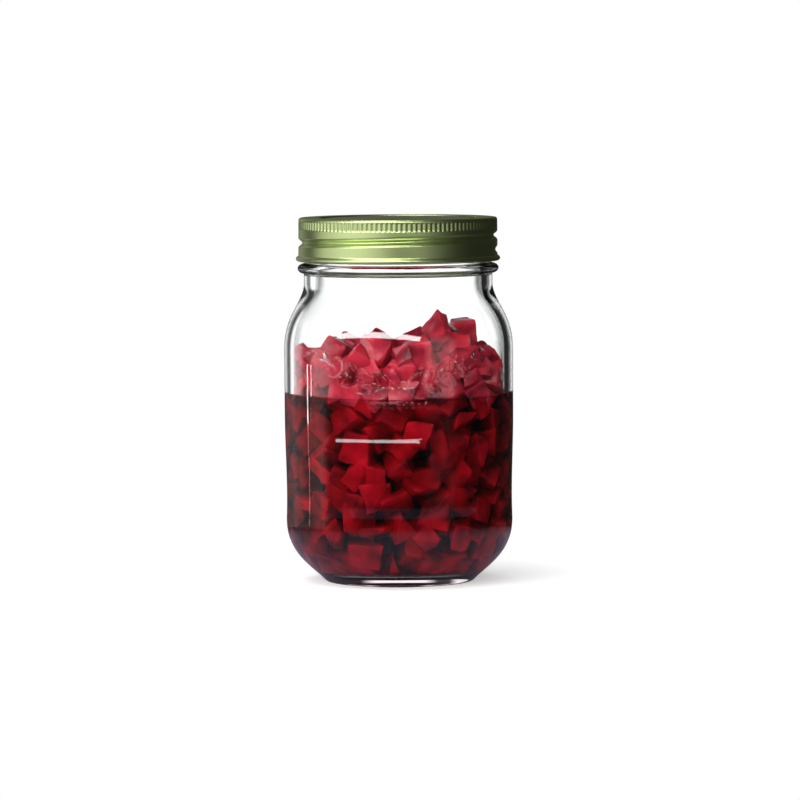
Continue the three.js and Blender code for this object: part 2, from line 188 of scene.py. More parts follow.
# The hanging garland and the beads that stand out of the front of the jar
GARLAND_LOW = 72.6
GARLAND_RISE = 10.2
GARLAND_REACH = 29
GARLAND_END = 5
STEM_HALF_WIDTH = 0.45
STEM_HEIGHT = 0.7
FIRST_LEAF = 3.4
LEAF_LENGTH = 7.6
LEAF_WIDTH = 3.9
LEAF_COUNT = 4
LEAF_TURN = math.radians(40)
LEAF_SHORTENING = 0.5
BERRIES = ((0, -0.6), (-2.1, 1.3), (2.1, 1.3))
BERRY_RADIUS = 1.25
BERRY_HEIGHT = 1.1
RELIEF = 0.6
BEAD_COUNT = 9
BEAD_SPACING = 2.55
BEAD_RADIUS = 1
BEAD_RELIEF = 0.9
BEAD_HEIGHT = 66.2

# The camera, in metres and degrees
CAMERA_PLACE = (0.0004, -1.705, 0.185)
CAMERA_PITCH = 4.015
CAMERA_ROLL = 0.35
CAMERA_LENS = 212.5

# The lamps: (name, place, what it faces, size, power), in metres and watts
LAMPS = [
    ("key_light", (-0.45, -1.11, 0.62), (0, 0, 0.05), (2.4, 0.2), 15),
    ("strip_light", (-0.88, 0.2, 0.004), (0, 0, 0.004), (0.025, 0.042), 0.05),
    ("strip_tail", (-0.88, 0.2, -0.045), (0, 0, -0.045), (0.016, 0.055), 0.008),
    ("top_light", (-0.2, -0.1, 1.1), (0, 0, 0.1), (0.6, 0.6), 5),
]

# The floor, in metres. It glows a little for the rays named, by that much.
FLOOR_RADIUS_SEEN = 0.16
FLOOR_DROP = 0.00005
FLOOR_SEEN = (0.92, 0.92, 0.92)
FLOOR_MIRRORED = (0.3, 0.3, 0.4)
FLOOR_EDGE_MIRRORED = (0.03, 0.03, 0.04)
FLOOR_GLOW = [("Is Camera Ray", 0.35), ("Is Transmission Ray", 0.85), ("Is Glossy Ray", 0.02)]

# How bright the room is for matt surfaces
FILL_LEVEL = 0.4

# How bright the room is all the way round, in degrees from +X, with the back of the jar at 90.
# The levels are those that satin metal shows, those that glass mirrors and those seen through glass.
SATIN_STOPS = [
    (-180, 0.85),
    (-162, 1.0),
    (-140, 0.95),
    (-122, 0.75),
    (-108, 0.45),
    (-94, 0.08),
    (-80, 0.1),
    (-60, 0.28),
    (-44, 0.12),
    (-24, 0.02),
    (0, 0.01),
    (60, 0.01),
    (98, 0.06),
    (120, 0.42),
    (136, 0.16),
    (152, 0.07),
    (164, 0.2),
    (173, 0.7),
    (180, 0.85),
]
SATIN_HEIGHTS = [(-1, 1), (0.35, 1), (0.8, 0.5), (1, 0.4)]
MIRROR_STOPS = [
    (-180, 0.5),
    (-173, 0.45),
    (-165, 0.07),
    (-120, 0.05),
    (-60, 0.04),
    (0, 0.03),
    (80, 0.02),
    (110, 0.1),
    (140, 0.35),
    (165, 0.3),
    (173, 0.45),
    (180, 0.5),
]
MIRROR_HEIGHTS = [(-1, 1), (0.3, 1), (0.5, 0.4), (0.75, 0.5), (0.9, 5), (1, 6)]
BEHIND_STOPS = [
    (-180, 1.45),
    (-168, 1.45),
    (-161, 0.04),
    (-64, 0.03),
    (-57, 1.45),
    (-33, 1.45),
    (-26, 0.03),
    (70, 0.02),
    (78, 1.45),
    (102, 1.45),
    (109, 0.05),
    (118, 0.05),
    (125, 1.45),
    (146, 1.45),
    (153, 0.04),
    (164, 0.04),
    (171, 1.45),
    (180, 1.45),
]
BEHIND_HEIGHTS = [(-1, 1), (0.24, 1), (0.36, 0.05), (1, 0.05)]


# Shapes


def curve(start, low, high, end, steps):
    """Points of a cubic curve after its start, up to its end."""
    share = np.linspace(0, 1, steps + 1)[1:, None]
    rest = 1 - share
    start, low, high, end = (np.array(point, float) for point in (start, low, high, end))
    return rest**3 * start + 3 * rest**2 * share * low + 3 * rest * share**2 * high + share**3 * end


def smooth(value, low, high):
    """0 below low, 1 above high and a smooth step between them."""
    share = np.clip((value - low) / (high - low), 0, 1)
    return share * share * (3 - 2 * share)


def straight(start, end, steps):
    """Points of a straight line after its start, up to its end."""
    share = np.linspace(0, 1, steps + 1)[1:, None]
    return (1 - share) * np.array(start, float) + share * np.array(end, float)


def arc(centre, radii, start, end, steps):
    """Points of an arc after its start. Angles are in degrees, anticlockwise from outwards."""
    angle = np.radians(np.linspace(start, end, steps + 1)[1:])
    return np.array(centre) + np.column_stack((radii[0] * np.cos(angle), radii[1] * np.sin(angle)))


def body_curve(inset, neck_radius, steps):
    """The side of the jar from the top of its heel to the foot of its neck, moved in by inset."""
    heel = (HEEL[0] - inset, HEEL[1])
    side = BODY_RADIUS - inset
    rise = BODY_STRAIGHT[0] - HEEL[1]
    shoulder = NECK[1] - BODY_STRAIGHT[1]
    waist = curve(
        heel,
        (heel[0] - 0.55, HEEL[1] + 0.34 * rise),
        (side, HEEL[1] + 0.62 * rise),
        (side, BODY_STRAIGHT[0]),
        steps[0],
    )
    middle = straight((side, BODY_STRAIGHT[0]), (side, BODY_STRAIGHT[1]), steps[1])
    top = curve(
        (side, BODY_STRAIGHT[1]),
        (side, BODY_STRAIGHT[1] + 0.54 * shoulder),
        (neck_radius, NECK[1] - 0.29 * shoulder),
        (neck_radius, NECK[1]),
        steps[2],
    )
    return np.vstack((waist, middle, top))


def inside_curve(steps=(20, 20, 10, 24)):
    """The inside of the jar, from the middle of its floor to the foot of its neck."""
    floor = (FLOOR_RADIUS, FLOOR_HEIGHT - RIM_ROUND)
    heel = (HEEL[0] - WALL, HEEL[1])
    return np.vstack(
        (
            [(0, FLOOR_HEIGHT)],
            straight((0, FLOOR_HEIGHT), floor, FLOOR_STEPS),
            curve(
                floor,
                (floor[0] + 0.5 * (heel[0] - floor[0]), floor[1]),
                (heel[0], HEEL[1] - 0.5 * (HEEL[1] - floor[1])),
                heel,
                steps[0],
            ),
            body_curve(WALL, MOUTH_RADIUS, steps[1:]),
        )
    )


INSIDE = inside_curve()[FLOOR_STEPS:]


def turned(name, outline, angles, move=None, closed=False):
    """A mesh turned round Z from an outline of radius and height in millimetres.

    An outline that isn't closed starts and ends on the axis. move gives new radii and heights for
    arrays of radii, angles and heights.
    """
    outline = np.asarray(outline, float)
    ring = outline if closed else outline[1:-1]
    count, around = len(ring), len(angles)
    radius = np.repeat(ring[:, :1], around, axis=1)
    height = np.repeat(ring[:, 1:], around, axis=1)
    turn = np.repeat(np.asarray(angles)[None, :], count, axis=0)
    if move:
        radius, height = move(radius, turn, height)
    points = np.stack((radius * np.cos(turn), radius * np.sin(turn), height), axis=-1)
    points = points.reshape(-1, 3)
    lower = np.arange(count if closed else count - 1)
    row, column = np.meshgrid(lower, np.arange(around), indexing="ij")
    above = (row + 1) % count
    beside = (column + 1) % around
    corners = ((row, column), (row, beside), (above, beside), (above, column))
    faces = np.stack([along * around + across for along, across in corners], axis=-1)
    faces = [tuple(face) for face in faces.reshape(-1, 4).tolist()]
    if not closed:
        low, high = len(points), len(points) + 1
        points = np.vstack((points, [(0, 0, outline[0, 1]), (0, 0, outline[-1, 1])]))
        last = (count - 1) * around
        faces += [(low, (i + 1) % around, i) for i in range(around)]
        faces += [(high, last + i, last + (i + 1) % around) for i in range(around)]
    return made(name, points, faces)


def made(name, points, faces):
    """A smooth-shaded object from points in millimetres."""
    mesh = bpy.data.meshes.new(name)
    mesh.from_pydata((np.asarray(points) * MM).tolist(), [], faces)
    mesh.polygons.foreach_set("use_smooth", [True] * len(mesh.polygons))
    mesh.update()
    piece = bpy.data.objects.new(name, mesh)
    bpy.context.scene.collection.objects.link(piece)
    return piece


def winding(turn, height, front_height, half_width, span):
    """How far a ridge that winds round the axis stands out, from 0 to 1."""
    most = np.zeros_like(height)
    degrees = (np.degrees(turn) + 180) % 360 - 180
    for lap in range(-2, 2):
        along = degrees + 360 * lap
        away = np.abs(height - front_height - PITCH * (along + 90) / 360)
        ends = smooth(along, span[0], span[0] + THREAD_FADE)
        ends = ends * (1 - smooth(along, span[1] - THREAD_FADE, span[1]))
        ridge = ends * (0.5 + 0.5 * np.cos(np.pi * np.minimum(away / half_width, 1)))
        most = np.maximum(most, ridge)
    return most


# The glass jar


def panel_share(across, height):
    """How far the label panel stands out, from 0 at its rim to 1 inside it."""
    middle = (PANEL_BOTTOM + PANEL_TOP) / 2
    over = np.abs(across) - (PANEL_HALF_WIDTH - PANEL_CORNER)
    up = np.abs(height - middle) - ((PANEL_TOP - PANEL_BOTTOM) / 2 - PANEL_CORNER)
    corner = np.hypot(np.maximum(over, 0), np.maximum(up, 0))
    outside = corner + np.minimum(np.maximum(over, up), 0) - PANEL_CORNER
    low = smooth(middle - height, 4, 10) * (up > over)
    ledge = PANEL_LEDGE + (PANEL_FOOT_LEDGE - PANEL_LEDGE) * low
    return np.clip(-outside / ledge, 0, 1)


def dome(distance):
    """A rounded ridge's height at a distance from its middle, given as a share of its half width."""
    return np.sqrt(np.clip(1 - distance**2, 0, 1))


def garland_height(across):
    """The height at which the garland's stem hangs."""
    return GARLAND_LOW + GARLAND_RISE * (across / GARLAND_REACH) ** 2


def leaf(across, height, foot, turn, length):
    """A flat pointed leaf with sloping edges. foot is where it grows, turn the way it points."""
    along = (across - foot[0]) * math.cos(turn) + (height - foot[1]) * math.sin(turn)
    aside = (height - foot[1]) * math.cos(turn) - (across - foot[0]) * math.sin(turn)
    share = np.clip(along / length, 0, 1)
    width = LEAF_WIDTH / 2 * np.sin(math.pi * share**0.8)
    return np.clip((width - np.abs(aside)) / RELIEF, 0, 1)


def garland(across, height):
    """How far the garland stands out: leaves in pairs, three berries in the middle, beads below."""
    raised = np.zeros_like(height)
    slope = np.hypot(1, 2 * GARLAND_RISE * across / GARLAND_REACH**2)
    on_stem = np.abs(height - garland_height(across)) / slope / STEM_HALF_WIDTH
    on_stem = np.where(np.abs(across) < GARLAND_REACH, on_stem, 1)
    raised = np.maximum(raised, STEM_HEIGHT * dome(on_stem))
    for side in (-1, 1):
        for pair in range(LEAF_COUNT):
            start = side * (FIRST_LEAF + pair * (GARLAND_REACH - GARLAND_END) / LEAF_COUNT)
            lean = math.atan(2 * GARLAND_RISE * start / GARLAND_REACH**2)
            foot = (start, garland_height(start))
            length = LEAF_LENGTH - LEAF_SHORTENING * pair
            for way in (-1, 1):
                turn = lean + (0 if side > 0 else math.pi) + way * LEAF_TURN
                raised = np.maximum(raised, leaf(across, height, foot, turn, length))
        tip = (side * (GARLAND_REACH - 1), garland_height(GARLAND_REACH - 1))
        turn = math.atan(2 * GARLAND_RISE / GARLAND_REACH)
        turn = turn if side > 0 else math.pi - turn
        raised = np.maximum(raised, leaf(across, height, tip, turn, LEAF_LENGTH - 2))
    for place, up in BERRIES:
        distance = np.hypot(across - place, height - GARLAND_LOW - up) / BERRY_RADIUS
        raised = np.maximum(raised, BERRY_HEIGHT * dome(distance))
    for bead in range(BEAD_COUNT):
        middle = (bead - (BEAD_COUNT - 1) / 2) * BEAD_SPACING
        distance = np.hypot(across - middle, height - BEAD_HEIGHT) / BEAD_RADIUS
        raised = np.maximum(raised, BEAD_RELIEF * dome(distance))
    return raised


def glass_outline():
    """The jar's outline from the middle of its base, over the rim, to the middle of its floor."""
    heel_run = HEEL[0] - FOOT[0]
    foot = curve(
        (BASE_RADIUS, 0),
        (BASE_RADIUS + 0.25 * (FOOT[0] - BASE_RADIUS), 0),
        (FOOT[0] - 0.6 * FOOT[1], FOOT[1] - 0.5 * FOOT[1]),
        FOOT,
        6,
    )
    heel = curve(
        FOOT,
        (FOOT[0] + 0.6 * heel_run, FOOT[1] + 0.5 * heel_run),
        (HEEL[0], HEEL[1] - 0.5 * (HEEL[1] - FOOT[1])),
        HEEL,
        30,
    )
    body = body_curve(0, NECK[0], (90, 72, 60))
    collar_low = (NECK[0], COLLAR_HEIGHT - COLLAR_HALF_WIDTH)
    collar_radii = (COLLAR_RADIUS - NECK[0], COLLAR_HALF_WIDTH)
    rim = RIM_HEIGHT - RIM_ROUND
    return np.vstack(
        (
            [(0, PUSH_UP_HEIGHT)],
            straight((0, PUSH_UP_HEIGHT), (PUSH_UP_RADIUS - PUSH_UP_HEIGHT, PUSH_UP_HEIGHT), 10),
            curve(
                (PUSH_UP_RADIUS - PUSH_UP_HEIGHT, PUSH_UP_HEIGHT),
                (PUSH_UP_RADIUS - 0.3 * PUSH_UP_HEIGHT, PUSH_UP_HEIGHT),
                (PUSH_UP_RADIUS, 0.4 * PUSH_UP_HEIGHT),
                (PUSH_UP_RADIUS + 0.5, 0),
                8,
            ),
            straight((PUSH_UP_RADIUS + 0.5, 0), (BASE_RADIUS, 0), 3),
            foot,
            heel,
            body,
            straight((NECK[0], NECK[1]), collar_low, 5),
            arc((NECK[0], COLLAR_HEIGHT), collar_radii, -90, 90, 18),
            straight((FINISH_RADIUS, COLLAR_HEIGHT + COLLAR_HALF_WIDTH), (FINISH_RADIUS, rim), 52),
            arc((FINISH_RADIUS - RIM_ROUND, rim), (RIM_ROUND, RIM_ROUND), 0, 90, 5),
            arc((MOUTH_RADIUS + RIM_ROUND, rim), (RIM_ROUND, RIM_ROUND), 90, 180, 5),
            straight((MOUTH_RADIUS, rim), (MOUTH_RADIUS, NECK[1] + 1), 8),
            inside_curve()[::-1],
        )
    )


def round_angles(fine_from, fine_to, fine, coarse):
    """Angles once round, fine between two of them and coarse over the rest."""
    first = np.linspace(fine_from, fine_to, fine + 1)
    rest = np.linspace(fine_to, fine_from + 2 * math.pi, coarse + 1)[1:-1]
    return np.concatenate((first, rest))


def glass_jar():
    """The jar with its label panels, its garland and its thread."""

    def move(radius, turn, height):
        across = BODY_RADIUS * ((turn - FRONT + math.pi) % (2 * math.pi) - math.pi)
        back = BODY_RADIUS * ((turn + FRONT + math.pi) % (2 * math.pi) - math.pi)
        outer = (radius > HEEL[0] - WALL / 2) & (height > HEEL[1] - 1) & (height < NECK[1])
        panel = np.maximum(panel_share(across, height), panel_share(back, height))
        radius = radius + PANEL_RISE * panel * outer
        radius = radius + RELIEF * garland(across, height) * outer
        finish = radius > FINISH_RADIUS - RIM_ROUND / 2
        finish = finish & (height > COLLAR_HEIGHT + COLLAR_HALF_WIDTH)
        ridge = winding(turn, height, RIDGE_FRONT, RIDGE_HALF_WIDTH, RIDGE_SPAN)
        return radius + RIDGE_HEIGHT * ridge * finish, height

    reach = FRONT_REACH / BODY_RADIUS
    angles = round_angles(FRONT - reach, FRONT + reach, FRONT_ANGLES, OTHER_ANGLES)
    return turned("glass_body", glass_outline(), angles, move)


def wet_faces(piece):
    """Gives the jar's inside below the brine's level to the second material."""
    for face in piece.data.polygons:
        centre, normal = face.center / MM, face.normal
        outward = (normal.x * centre.x + normal.y * centre.y) / math.hypot(centre.x, centre.y, 1e-6)
        wet = FLOOR_HEIGHT - 2 * RIM_ROUND < centre.z < BRINE_LEVEL and outward < normal.z / 2
        face.material_index = int(wet)


# The brine and the beetroot


def brine():
    """The brine reaches a little into the glass, so that no film of air shows between them."""
    side = inside_curve()
    side = side[side[:, 1] < BRINE_LEVEL]
    outline = [(0, FLOOR_HEIGHT - BRINE_OVERLAP)]
    outline += [(r + BRINE_OVERLAP, z - BRINE_OVERLAP) for r, z in side[1:]]
    edge = np.interp(BRINE_LEVEL, INSIDE[:, 1], INSIDE[:, 0]) + BRINE_OVERLAP
    for share in MENISCUS_SHARES:
        rise = MENISCUS_HEIGHT * share**2
        outline.append((edge - MENISCUS_WIDTH * (1 - share), BRINE_LEVEL + rise))
    outline += [(edge - 4, BRINE_LEVEL), (20, BRINE_LEVEL), (0, BRINE_LEVEL)]
    piece = turned("brine_fill", outline, round_angles(0, math.pi, 90, 90))
    for face in piece.data.polygons:
        face.material_index = int(face.center.z > (BRINE_LEVEL - BRINE_OVERLAP) * MM)
    return piece


def spread(index, which):
    """A number from -1 to 1 that looks random and is the same each time."""
    wave = math.sin(index * 12.9898 + which * 78.233) * 43758.5453
    return 2 * (wave - math.floor(wave)) - 1


def held_inside(place):
    """A point in metres, moved to the jar's inside if it is in the glass or under the floor."""
    height = max(place.z / MM, FLOOR_HEIGHT + CLEARANCE)
    limit = np.interp(height, INSIDE[:, 1], INSIDE[:, 0]) - CLEARANCE
    radius = math.hypot(place.x, place.y) / MM
    share = min(1, limit / max(radius, 1e-6))
    return Vector((place.x * share, place.y * share, height * MM))


def cut_piece(mesh, corners, seed, rough):
    """Adds one cut piece of beetroot to a bmesh: a block whose corners are pushed about by rough."""
    before = set(mesh.verts)
    points = []
    for i, corner in enumerate(corners):
        push = Vector((spread(seed, 11 + i), spread(seed, 21 + i), spread(seed, 31 + i)))
        points.append(mesh.verts.new(held_inside(corner + push * rough * MM)))
    hull = bmesh.ops.convex_hull(mesh, input=points)
    loose = [item for item in hull["geom_interior"] if isinstance(item, bmesh.types.BMVert)]
    bmesh.ops.delete(mesh, geom=loose, context="VERTS")
    bmesh.ops.dissolve_limit(
        mesh,
        angle_limit=math.radians(6),
        verts=[vert for vert in mesh.verts if vert not in before],
        edges=[edge for edge in mesh.edges if edge.verts[0] not in before],
        use_dissolve_boundaries=False,
    )


def uneven(place, wave):
    """A smooth push from -1 to 1 along each axis that changes over about one wave."""
    a, b, c = (2 * math.pi * part / wave for part in place)
    return Vector(
        (
            math.sin(b + 1.7 * math.sin(c + 0.6)) * math.cos(0.7 * a + 2),
            math.sin(c + 1.7 * math.sin(a + 2.3)) * math.cos(0.7 * b + 4.1),
            math.sin(a + 1.7 * math.sin(b + 4.4)) * math.cos(0.7 * c + 1.3),
        )
    )


def split_large_faces(mesh):
    """Leaves a mesh of triangles and four-sided faces only."""
    bmesh.ops.triangulate(mesh, faces=[face for face in mesh.faces if len(face.verts) > 4])


def finished_pieces(name, mesh):
    """Rounds the cut edges, makes the faces a little uneven and gives the pieces to one object."""
    bmesh.ops.bevel(
        mesh,
        geom=list(mesh.edges) + list(mesh.verts),
        offset=EDGE_ROUND * MM,
        offset_type="OFFSET",
        segments=2,
        profile=0.6,
        affect="EDGES",
        clamp_overlap=True,
    )
    split_large_faces(mesh)
    for limit in EDGE_LIMITS:
        long_edges = [edge for edge in mesh.edges if edge.calc_length() > limit * MM]
        bmesh.ops.subdivide_edges(mesh, edges=long_edges, cuts=1)
        split_large_faces(mesh)
    for vert in mesh.verts:
        push = uneven(vert.co, UNEVEN_WAVE * MM) + FINE_SHARE * uneven(vert.co, FINE_WAVE * MM)
        vert.co = held_inside(vert.co + push * UNEVEN * MM)
    data = bpy.data.meshes.new(name)
    mesh.to_mesh(data)
    mesh.free()
    data.polygons.foreach_set("use_smooth", [True] * len(data.polygons))
    piece = bpy.data.objects.new(name, data)
    bpy.context.scene.collection.objects.link(piece)
    return piece


def heap_piece(node):
    """The cut piece that stands for one of the frame's blocks."""
    mesh = bmesh.new()
    corners = [Vector(v.co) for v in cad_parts[node].data.vertices]
    centre = sum(corners, Vector()) / len(corners)
    corners = [centre + (corner - centre) * HEAP_SHARE for corner in corners]
    cut_piece(mesh, corners, int(node[-2:]), HEAP_CORNER_PUSH)
    return finished_pieces(node + "_cut", mesh)


def block_corners(size, place, turn):
    """The eight corners of a turned block."""
    signs = (-1, 1)
    return [
        place + turn @ Vector((x * size[0] / 2, y * size[1] / 2, z * size[2] / 2))
        for x in signs
        for y in signs
        for z in signs
    ]


def scattered_piece(mesh, index, angle, radius, height, mean):
    """Adds one piece of beetroot at an angle, a radius and a height in millimetres.

    Its size and its turn look random. Every fifth one is a flake and every third one lacks a corner.
    """
    flake = index % 5 == 0
    size = (
        mean * (1 + SIZE_SPREAD * spread(index, 2)) * (FLAKE_WIDTH if flake else 1),
        mean * (1 + SIZE_SPREAD * spread(index, 3)),
        mean * (FLAKE_THICKNESS if flake else BLOCK_THICKNESS + SIZE_SPREAD * spread(index, 4)),
    )
    place = Vector((radius * math.cos(angle), radius * math.sin(angle), height))
    lean = FLAKE_LEAN if flake else BLOCK_LEAN
    turn = (
        Matrix.Rotation(angle + lean * spread(index, 7), 3, "Z")
        @ Matrix.Rotation(lean * spread(index, 8), 3, "X")
        @ Matrix.Rotation(lean * spread(index, 9), 3, "Y")
    )
    corners = block_corners([side * MM for side in size], place * MM, turn)
    if index % 3 == 1:
        del corners[index % 8]
    cut_piece(mesh, corners, index, CORNER_PUSH_SHARE * mean)


def packed_ring(layer):
    """One ring of pieces against the glass, two to each of the model's blocks, and more behind."""
    mesh = bmesh.new()
    height = FLOOR_HEIGHT + RING_FLOOR_GAP + RING_RISE * (layer - 1)
    wall = np.interp(height, INSIDE[:, 1], INSIDE[:, 0])
    radius = wall - RING_INSET
    places = int(2 * math.pi * radius / RING_SPACING)
    for place in range(places):
        middle = 2 * math.pi * (place + layer / 2) / places
        for side in (-1, 1):
            index = 200 * layer + 2 * place + (side + 1) // 2
            angle = middle + side * (RING_SPACING / 4 + PIECE_SHIFT * spread(index, 1)) / radius
            wave = RING_WAVE * math.sin(RING_WAVES * middle)
            lift = height + wave + PAIR_LIFT * side + PIECE_LIFT * spread(index, 6)
            own = wall - PIECE_INSET - PIECE_SETBACK * max(0, spread(index, 5)) ** 1.5
            scattered_piece(mesh, index, angle, own, lift, PACKED_PIECE)
    behind = int(2 * math.pi * (radius - PACKED_PIECE) / PACKED_PIECE)
    for place in range(behind):
        index = 200 * layer + 100 + place
        angle = 2 * math.pi * (place + BEHIND_SHIFT * spread(index, 1)) / behind
        lift = height + BEHIND_LIFT * spread(index, 6)
        scattered_piece(mesh, index, angle, radius - PACKED_PIECE, lift, PACKED_PIECE + 1)
    return finished_pieces(f"beetroot_ring_{layer}", mesh)


def rim_pieces():
    """Small pieces in the gaps of the heap, where it lies against the glass above the brine."""
    mesh = bmesh.new()
    for row, (height, kept, mean) in enumerate(RIM_ROWS):
        wall = np.interp(height, INSIDE[:, 1], INSIDE[:, 0])
        for ring, inset in enumerate(RIM_INSETS):
            count = int(2 * math.pi * (wall - inset) / (mean + RIM_GAP))
            for place in range(count):
                index = 2000 + 200 * row + 90 * ring + place
                if 0.5 + 0.5 * spread(index, 10) > kept:
                    continue
                shifted = place + RIM_SHIFT * spread(index, 1) + 0.5 * row
                angle = 2 * math.pi * shifted / count
                lift = height + RIM_LIFT * spread(index, 6)
                scattered_piece(mesh, index, angle, wall - inset, lift, mean)
    return finished_pieces("beetroot_rim", mesh)


# The band, the lid and the gasket


def band():
    """The screw band: an inward lip, a knurled belt, the thread groove and a curled foot."""
    inner = BAND_RADIUS - BAND_SHEET
    foot = CURL_HEIGHT - CURL_HALF_WIDTH
    skirt_low = CURL_HEIGHT + CURL_HALF_WIDTH
    outline = np.vstack(
        (
            straight((BAND_HOLE, BAND_TOP - BAND_SHEET), (inner, BAND_TOP - BAND_SHEET), 4),
            straight((inner, BAND_TOP - BAND_SHEET), (inner, foot), 60),
            straight((inner, foot), (BAND_RADIUS, foot), 1),
            arc(
                (BAND_RADIUS, CURL_HEIGHT),
                (CURL_RADIUS - BAND_RADIUS, CURL_HALF_WIDTH),
                -90,
                78,
                14,
            ),
            straight(
                (BAND_RADIUS + 0.1, skirt_low + 0.1), (BAND_RADIUS, BAND_TOP - BAND_CORNER), 76
            ),
            arc(
                (BAND_RADIUS - BAND_CORNER, BAND_TOP - BAND_CORNER),
                (BAND_CORNER, BAND_CORNER),
                0,
                90,
                6,
            ),
            straight((BAND_RADIUS - BAND_CORNER, BAND_TOP), (BAND_HOLE + 0.2, BAND_TOP), 6),
            [(BAND_HOLE, BAND_TOP - BAND_SHEET / 2)],
            [(BAND_HOLE, BAND_TOP - BAND_SHEET)],
        )
    )

    def move(radius, turn, height):
        skirt = radius > LID_RADIUS
        groove = winding(turn, height, GROOVE_FRONT, GROOVE_HALF_WIDTH, GROOVE_SPAN)
        ribbed = smooth(height, KNURL_RANGE[0], KNURL_RANGE[0] + 0.5)
        ribbed = ribbed * (1 - smooth(height, KNURL_RANGE[1] - 0.4, KNURL_RANGE[1]))
        notch = 0.5 - 0.5 * np.cos(KNURL_COUNT * turn)
        outer = radius > BAND_RADIUS - BAND_SHEET / 2
        radius = radius - GROOVE_DEPTH * groove * skirt
        return radius - KNURL_DEPTH * ribbed * notch**1.5 * outer * (1 - groove), height

    angles = np.linspace(0, 2 * math.pi, KNURL_COUNT * 6 + 1)[:-1]
    return turned("band_sheet", outline, angles, move, closed=True)


def lid():
    """The pressed disc: a button in the middle, a plate, a shallow trough round it and a skirt."""
    button = LID_TOP + BUTTON_RISE
    plate = LID_TOP + PLATE_RISE
    trough = LID_TOP - TROUGH_DEPTH
    skirt = LID_TOP - LID_SKIRT
    corner = (LID_RADIUS - LID_ROUND, LID_TOP - LID_ROUND)
    profile = np.vstack(
        (
            [(0, button)],
            curve((0, button), (4, button), (6, plate), (BUTTON_RADIUS, plate), 10),
            straight((BUTTON_RADIUS, plate), (PLATE_RADIUS, plate), 8),
            curve((PLATE_RADIUS, plate), (26.6, plate), (26.8, trough), (TROUGH_RADIUS, trough), 8),
            curve((TROUGH_RADIUS, trough), (28, trough), (28, LID_TOP), (EDGE_RADIUS, LID_TOP), 4),
            straight((EDGE_RADIUS, LID_TOP), (corner[0], LID_TOP), 4),
            arc(corner, (LID_ROUND, LID_ROUND), 90, 0, 5),
            straight((LID_RADIUS, corner[1]), (LID_RADIUS, skirt), 2),
        )
    )
    under = profile[::-1] - (0, LID_SHEET)
    outline = np.vstack((profile, [(LID_RADIUS - LID_SHEET, skirt)], under[3:]))
    return turned("lid_disc", outline[::-1], np.linspace(0, 2 * math.pi, 181)[:-1])


# Materials


def material(name):
    """A new material, its nodes, their links and its shader."""
    new = bpy.data.materials.new(name)
    new.use_nodes = True
    tree = new.node_tree
    return new, tree.nodes, tree.links, tree.nodes["Principled BSDF"]


def node(nodes, kind, **settings):
    """A new node. Each setting is the value of a socket of that name, or else a property."""
    new = nodes.new(kind)
    for key, value in settings.items():
        if key in new.inputs:
            new.inputs[key].default_value = value
        else:
            setattr(new, key, value)
    return new


def mixed(nodes, first, second):
    """A node that mixes two colours."""
    mix = node(nodes, "ShaderNodeMix", data_type="RGBA")
    mix.inputs["A"].default_value = (*first, 1)
    mix.inputs["B"].default_value = (*second, 1)
    return mix


def clear_for_lamps(nodes, links, shader, tint):
    """Lets the lamps' light through a clear surface, tinted, as it would go through thin glass."""
    path = node(nodes, "ShaderNodeLightPath")
    through = node(nodes, "ShaderNodeBsdfTransparent")
    through.inputs["Color"].default_value = tint
    mix = node(nodes, "ShaderNodeMixShader")
    links.new(path.outputs["Is Shadow Ray"], mix.inputs["Fac"])
    links.new(shader.outputs["BSDF"], mix.inputs[1])
    links.new(through.outputs["BSDF"], mix.inputs[2])
    links.new(mix.outputs["Shader"], nodes["Material Output"].inputs["Surface"])


def make_clear(nodes, links, shader, colour, index, lamp_tint):
    """Turns a shader into a clear, polished one of that refractive index."""
    shader.inputs["Base Color"].default_value = colour
    shader.inputs["Transmission Weight"].default_value = 1
    shader.inputs["Roughness"].default_value = 0.0
    shader.inputs["IOR"].default_value = index
    clear_for_lamps(nodes, links, shader, lamp_tint)


def glass_material(name, index):
    """Clear glass. index is the glass's own index over that of what lies on its other side."""
    clear, nodes, links, shader = material(name)
    make_clear(nodes, links, shader, GLASS_COLOUR, index, GLASS_LAMP_TINT)
    return clear


def brine_absorption(nodes, links):
    """The brine takes green and blue out of the light within millimetres, and red more slowly."""
    absorb = node(nodes, "ShaderNodeVolumeAbsorption")
    absorb.inputs["Color"].default_value = BRINE_COLOUR
    absorb.inputs["Density"].default_value = BRINE_DENSITY
    links.new(absorb.outputs["Volume"], nodes["Material Output"].inputs["Volume"])


def brine_side_material():
    """Where the brine meets the glass: the glass's own face bends the light, so this one doesn't."""
    liquid, nodes, links, shader = material("brine_at_glass")
    nodes.remove(shader)
    through = node(nodes, "ShaderNodeBsdfTransparent")
    links.new(through.outputs["BSDF"], nodes["Material Output"].inputs["Surface"])
    brine_absorption(nodes, links)
    return liquid


def brine_top_material():
    """The brine's own surface, which bends and mirrors the light."""
    liquid, nodes, links, shader = material("brine_surface")
    make_clear(nodes, links, shader, (1, 1, 1, 1), BRINE_INDEX, (1, 1, 1, 1))
    brine_absorption(nodes, links)
    return liquid


